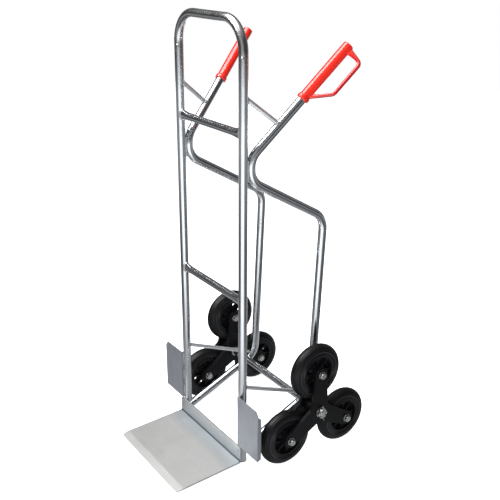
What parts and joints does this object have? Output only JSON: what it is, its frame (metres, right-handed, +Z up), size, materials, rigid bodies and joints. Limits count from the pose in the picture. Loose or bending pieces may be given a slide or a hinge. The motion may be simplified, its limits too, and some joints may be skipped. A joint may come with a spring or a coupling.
{
  "type": "stair climbing trolley",
  "caption": "Upright hand trolley with an aluminium tube frame, a toe plate, red handle grips with guards, and a turning star of wheels on each side for climbing stairs.",
  "frame": {"origin": "on the floor, under the middle of the whole trolley's box", "axes": "+X to the trolley's right, +Y to its back, where the handles and wheels are, +Z up"},
  "size_m": [0.5682, 0.659, 1.3197],
  "materials": {
    "frame_tube": "satin, drawn tube",
    "loop_tube": "polished, darker",
    "toe_sheet": "brushed along its width",
    "wing_sheet": "mill finish",
    "grip_red": "moulded, glossy",
    "tyre_rubber": "moulded",
    "rim_black": "moulded",
    "star_black": "black powder coat",
    "zinc": "zinc plated",
    "bush_nylon": "plain",
    "plug_black": "moulded"
  },
  "bodies": {
    "frame": {"right_upright": "frame_tube", "right_wing_plate": "wing_sheet", "right_side_frame": "frame_tube", "right_handle_strut": "frame_tube", "right_grip": "grip_red", "right_axle_strut": "frame_tube", "left_upright": "frame_tube", "left_wing_plate": "wing_sheet", "left_side_frame": "frame_tube", "left_handle_strut": "frame_tube", "left_grip": "grip_red", "left_axle_strut": "frame_tube", "top_loop": "loop_tube", "loop_sleeves": "frame_tube", "loop_rivets": "zinc", "foot_plugs": "plug_black", "upper_crossbar": "frame_tube", "middle_crossbar": "frame_tube", "toe_plate": "toe_sheet", "toe_plate_rivets": "zinc", "strut_screws": "zinc", "axle_tube": "frame_tube", "axle_rod": "zinc", "hub_spacers": "zinc", "hub_washers": "zinc", "castle_nuts": "zinc", "split_pins": "zinc"},
    "right_star": {"right_star_outer_plate": "star_black", "right_star_inner_plate": "star_black", "right_star_hub": "star_black", "right_star_sleeves": "zinc", "right_star_bolts": "zinc", "right_star_nuts": "zinc"},
    "right_upper_wheel": {"right_upper_tyre": "tyre_rubber", "right_upper_rim": "rim_black", "right_upper_bush": "bush_nylon"},
    "right_front_wheel": {"right_front_tyre": "tyre_rubber", "right_front_rim": "rim_black", "right_front_bush": "bush_nylon"},
    "right_rear_wheel": {"right_rear_tyre": "tyre_rubber", "right_rear_rim": "rim_black", "right_rear_bush": "bush_nylon"},
    "left_star": {"left_star_outer_plate": "star_black", "left_star_inner_plate": "star_black", "left_star_hub": "star_black", "left_star_sleeves": "zinc", "left_star_bolts": "zinc", "left_star_nuts": "zinc"},
    "left_upper_wheel": {"left_upper_tyre": "tyre_rubber", "left_upper_rim": "rim_black", "left_upper_bush": "bush_nylon"},
    "left_front_wheel": {"left_front_tyre": "tyre_rubber", "left_front_rim": "rim_black", "left_front_bush": "bush_nylon"},
    "left_rear_wheel": {"left_rear_tyre": "tyre_rubber", "left_rear_rim": "rim_black", "left_rear_bush": "bush_nylon"}
  },
  "joints": [
    {"name": "right_star_turn", "type": "hinge", "parent": "frame", "child": "right_star", "pos_m": [0.2315, 0.12967, 0.153], "axis": [1, 0, 0], "continuous": true},
    {"name": "right_upper_wheel_roll", "type": "hinge", "parent": "right_star", "child": "right_upper_wheel", "pos_m": [0.2315, 0.12967, 0.281], "axis": [1, 0, 0], "continuous": true},
    {"name": "right_front_wheel_roll", "type": "hinge", "parent": "right_star", "child": "right_front_wheel", "pos_m": [0.2315, 0.01882, 0.089], "axis": [1, 0, 0], "continuous": true},
    {"name": "right_rear_wheel_roll", "type": "hinge", "parent": "right_star", "child": "right_rear_wheel", "pos_m": [0.2315, 0.24053, 0.089], "axis": [1, 0, 0], "continuous": true},
    {"name": "left_star_turn", "type": "hinge", "parent": "frame", "child": "left_star", "pos_m": [-0.2315, 0.12967, 0.153], "axis": [1, 0, 0], "continuous": true},
    {"name": "left_upper_wheel_roll", "type": "hinge", "parent": "left_star", "child": "left_upper_wheel", "pos_m": [-0.2315, 0.12967, 0.281], "axis": [1, 0, 0], "continuous": true},
    {"name": "left_front_wheel_roll", "type": "hinge", "parent": "left_star", "child": "left_front_wheel", "pos_m": [-0.2315, 0.01882, 0.089], "axis": [1, 0, 0], "continuous": true},
    {"name": "left_rear_wheel_roll", "type": "hinge", "parent": "left_star", "child": "left_rear_wheel", "pos_m": [-0.2315, 0.24053, 0.089], "axis": [1, 0, 0], "continuous": true}
  ]
}
